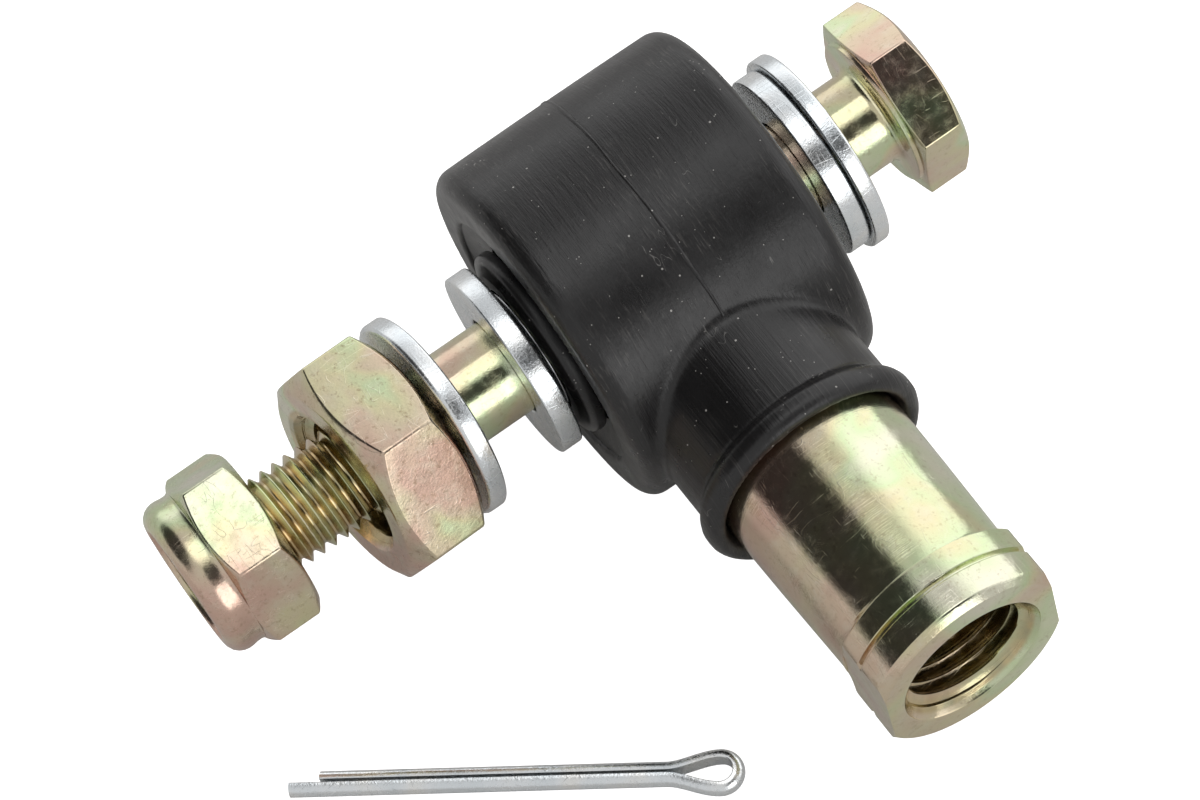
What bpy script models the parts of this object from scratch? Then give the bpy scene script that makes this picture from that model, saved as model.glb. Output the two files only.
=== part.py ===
"""Tie rod end: a booted rod end with a through bolt, loose clamping hardware and a cotter pin.

Frame: the origin is the ball's centre. +X runs along the bolt towards its head, -Y runs along the
neck towards the tie rod, +Z is perpendicular to both. Lengths below are millimetres; the model is
built in metres.
"""
import bmesh
import bpy
import math
from mathutils import Matrix, Vector

MM = 0.001

# ---- driving dimensions (mm) -------------------------------------------------------------------
GAP = 0.3                 # clearance kept between touching pieces

BOLT_D = 10.0             # M10 bolt
BOLT_SEAT_X = 26.5        # underside of the head
BOLT_END_X = -53.3        # threaded end
HEAD_AF = 17.0            # across flats
HEAD_H = 5.7
HEAD_TURN = 34.9          # a corner's angle about +X, degrees from +Y

LOCKNUT_AF = 17.0
LOCKNUT_X = (-54.1, -44.2)
LOCKNUT_COLLAR = 3.5      # length of the round collar that holds the locking ring
LOCKNUT_TURN = 11.4

JAMNUT_AF = 22.1          # jam nut for the tie rod's M14 thread
JAMNUT_X = (-36.3, -27.5)
JAMNUT_BORE_R = 6.3
JAMNUT_MOUTH_R = 7.8
JAMNUT_TURN = -2.0
JAMNUT_LEAN = (9.5, 0.0, 8.0, 5.2)      # hangs askew: degrees, then the axis turned about
JAMNUT_DROP = (0.0, -0.2, -0.6)

HOLE_R = 5.3              # bore of every washer and of the sleeve
SPACER_R = 10.0
SPACER_L_X = (-17.1, -14.85)
SPACER_R_X = (16.9, 19.05)
WASHER_R = 10.75
WASHER_L_X = (-26.5, -24.5)
WASHER_L_LEAN = (7.0, 0.0, 0.884, 0.468)
WASHER_R_X = (19.35, 20.95)

SLEEVE_R = 6.5
SLEEVE_HALF = 14.4
BALL_R = 9.5
LINER_R = (9.75, 10.75)
RACE_SPHERE_R = 11.0
RACE_R = 13.4
RACE_HALF = 6.0

EYE_R = 16.0
EYE_HALF = 8.0
EYE_BORE_R = 13.7
SHOULDER_R = 11.0         # step that stops the race on the left
RING_X = (6.4, 7.4)       # retaining ring
RING_R = (11.6, 14.1)

NECK_END = 53.2           # distance of the neck's end face from the ball centre
NECK_R = (9.85, 9.5)      # beside the boot, beside the collar
COLLAR_START = 46.6
COLLAR_R = 10.8
GROOVE_AT = 49.4
FLAT_HALF = 9.35          # half the distance across the wrench flats
BORE_R = 6.2              # minor radius of the M14 thread
BORE_MOUTH_R = 7.7
BORE_TOP = 23.0           # distance of the thread's inner end from the ball centre

BOOT_X = (-12.9, 14.0)
BOOT_R = 18.9
BOOT_FILLET = 2.0
BOOT_MOUTH_R = 13.55      # opening in each side, closed by the thin seal wall
BOOT_SLEEVE_R = 11.1
BOOT_LIP_R = 12.1
BOOT_SLEEVE_END = 28.5

LIP_R = (6.8, 10.2)       # seal lip on the sleeve
LIP_OUT = 14.1            # its outer face
LIP_IN = 12.0
WALL_R = (10.45, 13.25)   # thin seal wall between lip and boot
WALL_T = 1.0

PIN_A = Vector((-56.3, -14.9, 0.0))     # cotter pin: end of the long leg
PIN_B = Vector((-20.6, -41.3, 0.0))     # cotter pin: far side of the eye
PIN_WIRE = 1.1                           # radius of the half-round wire
PIN_EYE_W = 4.7
PIN_EYE_L = 7.6
PIN_SHORT = 3.0                          # how much shorter the other leg is
FLOOR_Z = -18.9

# ---- start from an empty scene ----------------------------------------------------------------
for ob in list(bpy.data.objects):
    bpy.data.objects.remove(ob, do_unlink=True)

parts = bpy.data.collections.new("tie_rod_end")
bpy.context.scene.collection.children.link(parts)
cutters = bpy.data.collections.new("cutters")
bpy.context.scene.collection.children.link(cutters)


def material(name, colour, metallic, roughness):
    m = bpy.data.materials.new(name)
    m.use_nodes = True
    b = m.node_tree.nodes["Principled BSDF"]
    b.inputs["Base Color"].default_value = (*colour, 1.0)
    b.inputs["Metallic"].default_value = metallic
    b.inputs["Roughness"].default_value = roughness
    m.diffuse_color = (*colour, 1.0)
    return m


YELLOW = ((0.72, 0.66, 0.46), 1.0, 0.25)
ZINC = ((0.74, 0.78, 0.82), 1.0, 0.25)
RUBBER = ((0.02, 0.019, 0.02), 0.0, 0.5)
STEEL = ((0.56, 0.57, 0.58), 1.0, 0.2)
POLYMER = ((0.75, 0.74, 0.7), 0.0, 0.45)
NYLON = ((0.1, 0.2, 0.5), 0.0, 0.45)

# local Z becomes world +X (along the bolt), or world -Y (along the neck)
TO_X = Matrix.Rotation(math.pi / 2, 4, 'Y')
TO_NECK = Matrix.Rotation(math.pi / 2, 4, 'X')


def turn_for_corner(psi):
    """Local turn about Z that puts a lathe's first vertex at angle psi (from +Y about +X)."""
    return TO_X @ Matrix.Rotation(math.radians(psi + 90.0), 4, 'Z')


def lathe(name, profile, matrix=TO_X, steps=28, coll=None, finish=None, ring=True, sharp=30.0):
    """A turned piece. profile is [(radius, height)], down the outer side and, for a ring, up the
    inner side. Without a ring it starts and ends on the axis."""
    verts = [(r * MM, 0.0, z * MM) for r, z in profile]
    n = len(verts)
    edges = [(i, i + 1) for i in range(n - 1)]
    if ring:
        edges.append((n - 1, 0))
    me = bpy.data.meshes.new(name)
    me.from_pydata(verts, edges, [])
    ob = bpy.data.objects.new(name, me)
    ob.matrix_world = matrix
    (coll or parts).objects.link(ob)
    s = ob.modifiers.new("turn", 'SCREW')
    s.axis = 'Z'
    s.angle = 2 * math.pi
    s.steps = steps
    s.render_steps = steps
    s.use_merge_vertices = True
    s.merge_threshold = 0.00001
    s.use_smooth_shade = True
    if finish:
        colour, metallic, roughness = finish
        me.materials.append(material(name, colour, metallic, roughness))
    return ob


def cutter(name, profile, matrix=TO_X, steps=32, ring=False):
    ob = lathe("cut_" + name, profile, matrix, steps, cutters, None, ring)
    ob.hide_render = True
    ob.display_type = 'WIRE'
    return ob


def box_cutter(name, low, high, matrix=Matrix.Identity(4)):
    bpy.ops.mesh.primitive_cube_add(size=1.0)
    ob = bpy.context.active_object
    ob.name = "cut_" + name
    low, high = Vector(low) * MM, Vector(high) * MM
    size = high - low
    mid = (high + low) / 2
    ob.data.transform(Matrix.Translation(mid) @ Matrix.Diagonal((*size, 1.0)))
    ob.matrix_world = matrix
    for c in list(ob.users_collection):
        c.objects.unlink(ob)
    cutters.objects.link(ob)
    ob.hide_render = True
    ob.display_type = 'WIRE'
    return ob


def boolean(ob, other, operation):
    m = ob.modifiers.new(operation.lower(), 'BOOLEAN')
    m.operation = operation
    m.object = other
    m.solver = 'EXACT'


def arc(cr, cz, radius, a0, a1, n):
    """Points of a circle arc about (cr, cz); angles in degrees from the +r direction."""
    pts = []
    for i in range(n + 1):
        a = math.radians(a0 + (a1 - a0) * i / n)
        pts.append((cr + radius * math.cos(a), cz + radius * math.sin(a)))
    return pts


def disc(r_out, z_low, z_high, r_in, chamfer=0.25):
    """Profile of a washer with broken edges."""
    c = chamfer
    return [(r_out - c, z_high), (r_out, z_high - c), (r_out, z_low + c), (r_out - c, z_low),
            (r_in, z_low), (r_in, z_high)]


def hexagon(name, across_flats, z_low, z_high, turn, finish):
    """A hexagonal prism: a six-sided turned profile."""
    corner = across_flats / math.sqrt(3.0)
    return lathe(name, [(0, z_high), (corner, z_high), (corner, z_low), (0, z_low)],
                 turn_for_corner(turn), 6, parts, finish, ring=False)


def chamfer_body(name, across_flats, z_low, z_high, low, high, extra_low=0.0):
    """A turned body that rounds a hexagon's corners: chamfered where low or high is set."""
    r_big = across_flats / math.sqrt(3.0) + 0.6
    r_face = across_flats / 2.0 - 0.15
    rise = (r_big - r_face) * math.tan(math.radians(28.0))
    prof = [(0, z_high + (0 if high else 0.5))]
    if high:
        prof += [(r_face, z_high), (r_big, z_high - rise)]
    else:
        prof += [(r_big, z_high + 0.5)]
    if low:
        prof += [(r_big, z_low + rise), (r_face, z_low)]
    else:
        prof += [(r_big, z_low - 0.5)]
    prof += [(0, z_low - (0 if low else 0.5))]
    return cutter(name, prof, TO_X, 36)


# ---- rod end body: eye, neck, wrench collar and thread bore in one forging ----------------------
body = lathe("rod_end_body", [(0, EYE_HALF), (EYE_R - 0.4, EYE_HALF), (EYE_R, EYE_HALF - 0.4),
                              (EYE_R, -EYE_HALF + 0.4), (EYE_R - 0.4, -EYE_HALF), (0, -EYE_HALF)],
             TO_X, 40, parts, YELLOW, ring=False)
neck = cutter("neck", [(0, NECK_END), (COLLAR_R - 0.7, NECK_END), (COLLAR_R, NECK_END - 0.8),
                       (COLLAR_R, GROOVE_AT + 0.35), (COLLAR_R - 0.5, GROOVE_AT + 0.2),
                       (COLLAR_R - 0.5, GROOVE_AT - 0.2), (COLLAR_R, GROOVE_AT - 0.35),
                       (COLLAR_R, COLLAR_START + 0.2), (COLLAR_R - 0.2, COLLAR_START),
                       (NECK_R[1] + 0.3, COLLAR_START - 0.1), (NECK_R[1], COLLAR_START - 0.5),
                       (NECK_R[0], BOOT_SLEEVE_END), (NECK_R[0], 18.6), (7.6, 15.9),
                       (7.6, 5.0), (0, 5.0)], TO_NECK, 40)
boolean(body, neck, 'UNION')
boolean(body, cutter("eye_bore", [(0, 10), (EYE_BORE_R, 10), (EYE_BORE_R, RING_X[1] + 0.2),
                                  (RING_R[1] + GAP, RING_X[1] + 0.2), (RING_R[1] + GAP, RING_X[0] - 0.2),
                                  (EYE_BORE_R, RING_X[0] - 0.2), (EYE_BORE_R, -RACE_HALF - GAP),
                                  (SHOULDER_R, -RACE_HALF - GAP), (SHOULDER_R, -10), (0, -10)],
                     TO_X, 36), 'DIFFERENCE')
boolean(body, cutter("thread_bore", [(0, NECK_END + 1), (BORE_MOUTH_R + 0.7, NECK_END + 1),
                                     (BORE_MOUTH_R, NECK_END), (BORE_R, NECK_END - 1.6),
                                     (BORE_R, BORE_TOP), (0, BORE_TOP - 3.0)],
                     TO_NECK, 32), 'DIFFERENCE')
for side, sign in (("right", 1), ("left", -1)):
    x = sorted((sign * FLAT_HALF, sign * 14.0))
    boolean(body, box_cutter("flat_" + side, (x[0], -NECK_END - 1, -12), (x[1], -COLLAR_START + 0.6, 12)),
            'DIFFERENCE')

# ---- bearing inside the eye ----------------------------------------------------------------------
def lean(centre_x, turn, drop=(0.0, 0.0, 0.0)):
    """The matrix that tips a loose piece about its own centre on the bolt's axis."""
    centre = Vector((centre_x * MM, 0, 0))
    return (Matrix.Translation(centre + Vector(drop) * MM)
            @ Matrix.Rotation(math.radians(turn[0]), 4, Vector(turn[1:]).normalized())
            @ Matrix.Translation(-centre))


def sphere_band(radius, half, n, down=True):
    """Points on a sphere of that radius between heights +half and -half."""
    a = math.degrees(math.asin(half / radius))
    pts = arc(0, 0, radius, a, -a, n)
    return pts if down else pts[::-1]


lathe("bearing_race", [(RACE_R - 0.3, RACE_HALF), (RACE_R, RACE_HALF - 0.3),
                       (RACE_R, -RACE_HALF + 0.3), (RACE_R - 0.3, -RACE_HALF)]
      + sphere_band(RACE_SPHERE_R, RACE_HALF, 6, False), TO_X, 28, parts, STEEL)
lathe("bearing_liner", sphere_band(LINER_R[1], 5.7, 6) + sphere_band(LINER_R[0], 5.7, 6, False),
      TO_X, 28, parts, POLYMER)
ball_half = math.sqrt(BALL_R ** 2 - (SLEEVE_R + 0.2) ** 2)
lathe("ball", sphere_band(BALL_R, ball_half, 10), TO_X, 28, parts, STEEL)
lathe("inner_sleeve", disc(SLEEVE_R, -SLEEVE_HALF, SLEEVE_HALF, HOLE_R, 0.4), TO_X, 28, parts, STEEL)

ring = lathe("retaining_ring", [(RING_R[1], RING_X[1]), (RING_R[1], RING_X[0]),
                                (RING_R[0], RING_X[0]), (RING_R[0], RING_X[1])], TO_X, 28, parts, STEEL)
boolean(ring, box_cutter("ring_gap", (5, -2.2, 9), (9, 2.2, 16)), 'DIFFERENCE')

# ---- rubber boot ---------------------------------------------------------------------------------
f = BOOT_FILLET
boot = lathe("rubber_boot",
             [(0, BOOT_X[1])] + arc(BOOT_R - f - 0.15, BOOT_X[1] - f, f, 90, 0, 5)
             + [(BOOT_R, 3.0), (BOOT_R, -2.0)]
             + arc(BOOT_R - f - 0.1, BOOT_X[0] + f, f, 0, -90, 5) + [(0, BOOT_X[0])],
             TO_X, 48, parts, RUBBER, ring=False)
boot_neck = cutter("boot_neck", [(0, BOOT_SLEEVE_END), (BOOT_LIP_R - 1.0, BOOT_SLEEVE_END),
                                 (BOOT_LIP_R - 0.3, BOOT_SLEEVE_END - 0.4), (BOOT_LIP_R, BOOT_SLEEVE_END - 1.4),
                                 (BOOT_LIP_R - 0.25, BOOT_SLEEVE_END - 2.4),
                                 (BOOT_SLEEVE_R, BOOT_SLEEVE_END - 3.2), (BOOT_SLEEVE_R, 12.0), (0, 12.0)],
                   TO_NECK, 40)
boolean(boot, boot_neck, 'UNION')
boolean(boot, cutter("boot_cavity", [(0, 16), (BOOT_MOUTH_R, 16), (BOOT_MOUTH_R, EYE_HALF + GAP),
                                     (EYE_R + GAP, EYE_HALF + GAP), (EYE_R + GAP, -EYE_HALF - GAP),
                                     (BOOT_MOUTH_R, -EYE_HALF - GAP), (BOOT_MOUTH_R, -16), (0, -16)],
                     TO_X, 36), 'DIFFERENCE')
boolean(boot, cutter("boot_neck_bore", [(0, 31), (10.9, 31), (10.6, BOOT_SLEEVE_END), (NECK_R[0] + GAP, BOOT_SLEEVE_END - 0.9),
                                        (NECK_R[0] + GAP, 10), (0, 10)], TO_NECK, 40), 'DIFFERENCE')

for side, sign in (("left", -1), ("right", 1)):
    out = BOOT_X[0] if sign < 0 else BOOT_X[1]
    z = sorted((out, out - sign * WALL_T))
    lathe("seal_wall_" + side, [(WALL_R[1], z[1]), (WALL_R[1], z[0]), (WALL_R[0], z[0]), (WALL_R[0], z[1])],
          TO_X, 28, parts, RUBBER)
    shift = 0.0 if sign < 0 else 1.1
    z = sorted((sign * (LIP_IN + shift), sign * (LIP_OUT + shift - (0.0 if sign < 0 else 0.8))))
    c = 0.5
    lathe("seal_lip_" + side, disc(LIP_R[1], z[0], z[1], LIP_R[0], c), TO_X, 28, parts, RUBBER)

# ---- bolt and the pieces on it -------------------------------------------------------------------
r = BOLT_D / 2
bolt = hexagon("bolt", HEAD_AF, BOLT_SEAT_X + 0.5, BOLT_SEAT_X + HEAD_H, HEAD_TURN, YELLOW)
boolean(bolt, chamfer_body("head_chamfer", HEAD_AF, BOLT_SEAT_X + 0.5, BOLT_SEAT_X + HEAD_H, True, True),
        'INTERSECT')
boolean(bolt, cutter("shank", [(0, BOLT_SEAT_X + 3), (8.0, BOLT_SEAT_X + 3), (8.0, BOLT_SEAT_X), (r + 0.4, BOLT_SEAT_X),
                               (r, BOLT_SEAT_X - 0.4), (r, BOLT_END_X + 1.0), (r - 1.0, BOLT_END_X),
                               (0, BOLT_END_X)], TO_X, 32), 'UNION')

lathe("spacer_left", disc(SPACER_R, *SPACER_L_X, HOLE_R), TO_X, 28, parts, ZINC)
lathe("spacer_right", disc(SPACER_R, *SPACER_R_X, HOLE_R), TO_X, 28, parts, ZINC)
washer = lathe("washer_left", disc(WASHER_R, *WASHER_L_X, HOLE_R), TO_X, 28, parts, ZINC)
washer.matrix_world = lean(sum(WASHER_L_X) / 2, WASHER_L_LEAN) @ washer.matrix_world
lathe("washer_right", disc(WASHER_R, *WASHER_R_X, HOLE_R), TO_X, 28, parts, ZINC)

jam = hexagon("jam_nut", JAMNUT_AF, *JAMNUT_X, JAMNUT_TURN, YELLOW)
jam_chamfer = chamfer_body("jam_chamfer", JAMNUT_AF, *JAMNUT_X, True, True)
jam_bore = cutter("jam_bore", [(0, JAMNUT_X[1] + 1), (JAMNUT_MOUTH_R + 0.8, JAMNUT_X[1] + 1),
                               (JAMNUT_MOUTH_R, JAMNUT_X[1]), (JAMNUT_BORE_R, JAMNUT_X[1] - 1.4),
                               (JAMNUT_BORE_R, JAMNUT_X[0] + 1.4), (JAMNUT_MOUTH_R, JAMNUT_X[0]),
                               (JAMNUT_MOUTH_R + 0.8, JAMNUT_X[0] - 1), (0, JAMNUT_X[0] - 1)], TO_X, 32)
for ob in (jam, jam_chamfer, jam_bore):
    ob.matrix_world = lean(sum(JAMNUT_X) / 2, JAMNUT_LEAN, JAMNUT_DROP) @ ob.matrix_world
boolean(jam, jam_chamfer, 'INTERSECT')
boolean(jam, jam_bore, 'DIFFERENCE')

n0, n1 = LOCKNUT_X
hex_low = n0 + LOCKNUT_COLLAR
lock = hexagon("locknut", LOCKNUT_AF, hex_low, n1, LOCKNUT_TURN, YELLOW)
boolean(lock, chamfer_body("lock_chamfer", LOCKNUT_AF, hex_low, n1, True, True), 'INTERSECT')
boolean(lock, cutter("lock_collar", [(0, hex_low + 2), (8.25, hex_low + 2), (8.25, n0 + 1.5)]
                     + arc(6.75, n0 + 1.5, 1.5, 0, -75, 4)[1:] + [(6.8, n0), (0, n0)], TO_X, 36), 'UNION')
boolean(lock, cutter("lock_bore", [(0, n1 + 1), (6.5, n1 + 1), (5.9, n1), (HOLE_R, n1 - 0.8), (HOLE_R, hex_low + 0.7),
                                   (7.0, hex_low + 0.7), (7.0, n0 + 0.5), (6.2, n0 + 0.45), (6.2, n0 - 1), (0, n0 - 1)],
                     TO_X, 32), 'DIFFERENCE')
lathe("locknut_ring", disc(6.7, n0 + 0.8, hex_low + 0.4, HOLE_R, 0.15), TO_X, 28, parts, NYLON)

# ---- cotter pin: half-round wire bent round an eye, lying beside the rod end ------------------------
along = (PIN_B - PIN_A).normalized()
length = (PIN_B - PIN_A).length
section = bpy.data.curves.new("cut_pin_section", 'CURVE')
section.dimensions = '2D'
sp = section.splines.new('POLY')
pts = [(PIN_WIRE * math.sin(math.radians(a)), PIN_WIRE * math.cos(math.radians(a))) for a in range(0, 181, 30)]
sp.points.add(len(pts) - 1)
for p, (x, y) in zip(sp.points, pts):
    p.co = (x * MM, y * MM, 0.0, 1.0)
sp.use_cyclic_u = True
section_ob = bpy.data.objects.new("cut_pin_section", section)
cutters.objects.link(section_ob)
section_ob.hide_render = True
section_ob.display_type = 'WIRE'

SEAM = 0.08               # half the gap between the flat sides of the legs
route = []
eye_r = PIN_EYE_W / 2 - PIN_WIRE        # inner radius of the eye
eye_at = length - PIN_WIRE - eye_r      # centre of the eye's round end
start = length - PIN_EYE_L
route.append((0.0, -SEAM))
route.append((start * 0.5, -SEAM - 0.02))
route.append((start, -SEAM - 0.05))
for i in range(1, 6):
    t = i / 5
    s = t * t * (3 - 2 * t)
    route.append((start + (eye_at - start) * t, -SEAM - 0.05 - (eye_r - SEAM - 0.05) * s))
for i in range(1, 12):
    a = math.radians(-90 + 180 * i / 12)
    route.append((eye_at + eye_r * math.cos(a), eye_r * math.sin(a)))
for i in range(5, -1, -1):
    t = i / 5
    s = t * t * (3 - 2 * t)
    route.append((start + (eye_at - start) * t, SEAM + 0.05 + (eye_r - SEAM - 0.05) * s))
route.append((start * 0.5, SEAM + 0.05))
route.append((PIN_SHORT, SEAM + 0.12))
wire = bpy.data.curves.new("cotter_pin_wire", 'CURVE')
wire.dimensions = '2D'
wire.fill_mode = 'NONE'
sp = wire.splines.new('POLY')
sp.points.add(len(route) - 1)
for p, (x, y) in zip(sp.points, route):
    p.co = (x * MM, y * MM, 0.0, 1.0)
wire.bevel_mode = 'OBJECT'
wire.bevel_object = section_ob
wire.use_fill_caps = True
wire_ob = bpy.data.objects.new("cotter_pin_wire", wire)
parts.objects.link(wire_ob)
wire_ob.matrix_world = (Matrix.Translation(Vector((PIN_A.x, PIN_A.y, FLOOR_Z + PIN_WIRE)) * MM)
                        @ Matrix.Rotation(math.atan2(along.y, along.x), 4, 'Z'))
bpy.context.view_layer.update()
deps = bpy.context.evaluated_depsgraph_get()
pin_mesh = bpy.data.meshes.new_from_object(wire_ob.evaluated_get(deps))
bm = bmesh.new()
bm.from_mesh(pin_mesh)
bmesh.ops.remove_doubles(bm, verts=bm.verts, dist=0.00001)
bmesh.ops.recalc_face_normals(bm, faces=bm.faces)
bm.to_mesh(pin_mesh)
bm.free()
pin = bpy.data.objects.new("cotter_pin", pin_mesh)
parts.objects.link(pin)
pin.matrix_world = wire_ob.matrix_world.copy()
bpy.data.objects.remove(wire_ob, do_unlink=True)
pin_mesh.materials.clear()
pin_mesh.materials.append(material("cotter_pin", *ZINC))

# ---- joint axes: the tilting and turning pieces hang from empties on the ball centre ----------------
def empty(name, children):
    e = bpy.data.objects.new(name, None)
    e.empty_display_size = 0.01
    parts.objects.link(e)
    for c in children:
        child = bpy.data.objects[c]
        child.parent = e
    return e


swivel = empty("swivel_axis", ["inner_sleeve", "seal_lip_left", "seal_lip_right", "bolt", "spacer_left",
                               "spacer_right", "washer_left", "washer_right", "jam_nut", "locknut",
                               "locknut_ring"])
tilt = empty("tilt_axis", ["ball", "bearing_liner"])
swivel.parent = tilt
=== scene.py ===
"""Looks of the tie rod end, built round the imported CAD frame.

Frame, as in the CAD: origin at the ball's centre, +X along the bolt towards its head, -Y along the
neck, +Z perpendicular to both. Lengths in this file are millimetres until mesh() turns them to metres.
"""
import math

import bmesh
import bpy
import numpy as np
from mathutils import Matrix, Vector


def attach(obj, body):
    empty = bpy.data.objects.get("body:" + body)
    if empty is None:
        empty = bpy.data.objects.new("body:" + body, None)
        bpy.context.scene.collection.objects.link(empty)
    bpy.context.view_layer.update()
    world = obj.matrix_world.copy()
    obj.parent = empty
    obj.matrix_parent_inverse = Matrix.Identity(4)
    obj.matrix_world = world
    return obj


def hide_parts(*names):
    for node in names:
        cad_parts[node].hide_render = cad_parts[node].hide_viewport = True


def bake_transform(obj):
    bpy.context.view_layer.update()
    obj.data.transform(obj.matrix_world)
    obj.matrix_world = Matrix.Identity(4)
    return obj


MM = 0.001
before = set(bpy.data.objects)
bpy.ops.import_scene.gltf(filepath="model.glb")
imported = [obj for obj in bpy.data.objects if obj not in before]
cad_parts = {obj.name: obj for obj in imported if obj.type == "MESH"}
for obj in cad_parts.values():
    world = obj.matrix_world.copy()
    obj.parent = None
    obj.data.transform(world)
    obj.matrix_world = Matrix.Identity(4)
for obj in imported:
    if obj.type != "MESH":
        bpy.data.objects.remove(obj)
scene = bpy.context.scene
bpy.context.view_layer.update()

# ================================================================================================
# Camera: fitted to the viewing angle; it looks down 61 degrees, from 16 degrees left of -Y
# ================================================================================================
RIGHT = Vector((0.81521963, -0.55309651, -0.17175916))
UP = Vector((0.56426924, 0.6917369, 0.45066649))
BACK = Vector((-0.13044992, -0.46431058, 0.87601284))
cam_data = bpy.data.cameras.new("camera")
cam_data.sensor_width = 36.0
cam_data.lens = 152.52
cam_data.clip_start = 0.01
cam_data.clip_end = 20.0
cam = bpy.data.objects.new("camera", cam_data)
scene.collection.objects.link(cam)
cam.matrix_world = Matrix((
    (RIGHT.x, UP.x, BACK.x, -74.972 * MM),
    (RIGHT.y, UP.y, BACK.y, -233.619 * MM),
    (RIGHT.z, UP.z, BACK.z, 423.946 * MM),
    (0, 0, 0, 1)))
scene.camera = cam
scene.view_settings.view_transform = 'Standard'


# ================================================================================================
# Mesh helpers (millimetres)
# ================================================================================================
def mesh(name, verts, faces, material, body, slot=None, replaces=(), sharp=30.0, weighted=True, merge=2e-4,
         parent_body=True, move=None):
    """A closed mesh piece in millimetres, merged, wound outwards and smooth away from its sharp edges."""
    me = bpy.data.meshes.new(name)
    me.from_pydata([tuple(v) for v in verts], [], [tuple(int(i) for i in f) for f in faces])
    if move is not None:
        me.transform(move)
    bm = bmesh.new()
    bm.from_mesh(me)
    bmesh.ops.remove_doubles(bm, verts=bm.verts, dist=merge)
    bmesh.ops.dissolve_degenerate(bm, edges=bm.edges, dist=1e-5)
    bmesh.ops.recalc_face_normals(bm, faces=bm.faces)
    bmesh.ops.scale(bm, vec=(MM, MM, MM), verts=bm.verts)
    bm.to_mesh(me)
    bm.free()
    me.shade_smooth()
    me.set_sharp_from_angle(angle=math.radians(sharp))
    ob = bpy.data.objects.new(name, me)
    scene.collection.objects.link(ob)
    me.materials.append(material)
    if weighted:
        w = ob.modifiers.new("weighted", 'WEIGHTED_NORMAL')
        w.mode = 'FACE_AREA'
        w.weight = 80
        w.keep_sharp = True
    if parent_body:
        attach(ob, body)
    if replaces:
        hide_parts(*replaces)
    return ob


def fillet(points, closed=True, n=4):
    """Rounds a polyline's corners. points are (a, b, radius)."""
    out = []
    m = len(points)
    for i, p in enumerate(points):
        a, b = np.array(p[:2], float), p[2] if len(p) > 2 else 0.0
        if b <= 0 or (not closed and i in (0, m - 1)):
            out.append(tuple(a))
            continue
        q, r = np.array(points[i - 1][:2], float), np.array(points[(i + 1) % m][:2], float)
        u, v = (q - a), (r - a)
        lu, lv = np.linalg.norm(u), np.linalg.norm(v)
        u, v = u / lu, v / lv
        cosine = float(np.clip(u @ v, -1, 1))
        half = math.acos(cosine) / 2
        if half > math.pi / 2 - 0.02:
            out.append(tuple(a))
            continue
        t = min(b / math.tan(half), 0.49 * lu, 0.49 * lv)
        rad = t * math.tan(half)
        centre = a + (u + v) / np.linalg.norm(u + v) * (rad / math.sin(half))
        s, e = a + u * t, a + v * t
        a0 = math.atan2(*(s - centre)[::-1])
        a1 = math.atan2(*(e - centre)[::-1])
        d = (a1 - a0 + math.pi) % (2 * math.pi) - math.pi
        for k in range(n + 1):
            ang = a0 + d * k / n
            out.append((centre[0] + rad * math.cos(ang), centre[1] + rad * math.sin(ang)))
    return out


def place(axis, r, h, angle):
    """Point at radius r and height h at an angle: axis X has heights along +X, axis Y along -Y."""
    if axis == 'X':
        return (h, r * math.cos(angle), r * math.sin(angle))
    return (r * math.cos(angle), -h, r * math.sin(angle))


def revolve(profile, axis, steps=128, closed=True):
    """Turns a profile of (radius, height). A closed one is a ring; an open one starts and ends on the axis."""
    verts, faces = [], []
    m = len(profile)
    for j in range(steps):
        a = 2 * math.pi * j / steps
        for r, h in profile:
            verts.append(place(axis, r, h, a))
    for j in range(steps):
        k = (j + 1) % steps
        for i in range(m if closed else m - 1):
            i2 = (i + 1) % m
            faces.append((j * m + i, j * m + i2, k * m + i2, k * m + i))
    return verts, faces


def join(*parts):
    verts, faces = [], []
    for v, f in parts:
        off = len(verts)
        verts.extend(v)
        faces.extend(tuple(i + off for i in x) for x in f)
    return verts, faces


def thread(axis, h0, h1, pitch, r_root, r_crest, steps=96, run=None, r_ends=None, per=10, hand=1, crest=0.14, root=0.22):
    """A helical thread surface between heights h0 < h1, ending in plain rings of radius r_ends at both ends.
    The rows of vertices follow the helix, so that its crests stay crisp."""
    run = run or (pitch, pitch)
    r_ends = r_ends or (r_root, r_root)
    # profile over one pitch: root flat, rise, crest flat, fall
    flank = (1 - crest - root) / 2
    nodes = [0.0, root * 0.5, root, root + flank * 0.5, root + flank, root + flank + crest * 0.5,
             root + flank + crest, root + flank * 1.5 + crest]
    level = [0.0, 0.0, 0.03, 0.5, 0.97, 1.0, 0.97, 0.5]
    m = len(nodes)
    turns = int(math.ceil((h1 - h0) / pitch)) + 2
    rows = turns * m
    verts = []
    for j in range(steps + 1):
        a = 2 * math.pi * j / steps
        for k in range(rows):
            h = h0 - pitch + (k // m + nodes[k % m]) * pitch + hand * pitch * j / steps
            f = level[k % m]
            # run in and run out
            w0 = min(1.0, max(0.0, (h - h0) / run[0]))
            w1 = min(1.0, max(0.0, (h1 - h) / run[1]))
            full = r_root + (r_crest - r_root) * f
            r = full
            if w0 < 1:
                r = r_ends[0] + (full - r_ends[0]) * w0
            if w1 < 1:
                r = r_ends[1] + (r - r_ends[1]) * w1
            h = min(h1, max(h0, h))
            verts.append(place(axis, r, h, a))
    faces = []
    for j in range(steps):
        for k in range(rows - 1):
            faces.append((j * rows + k, j * rows + k + 1, (j + 1) * rows + k + 1, (j + 1) * rows + k))
    return verts, faces


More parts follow.
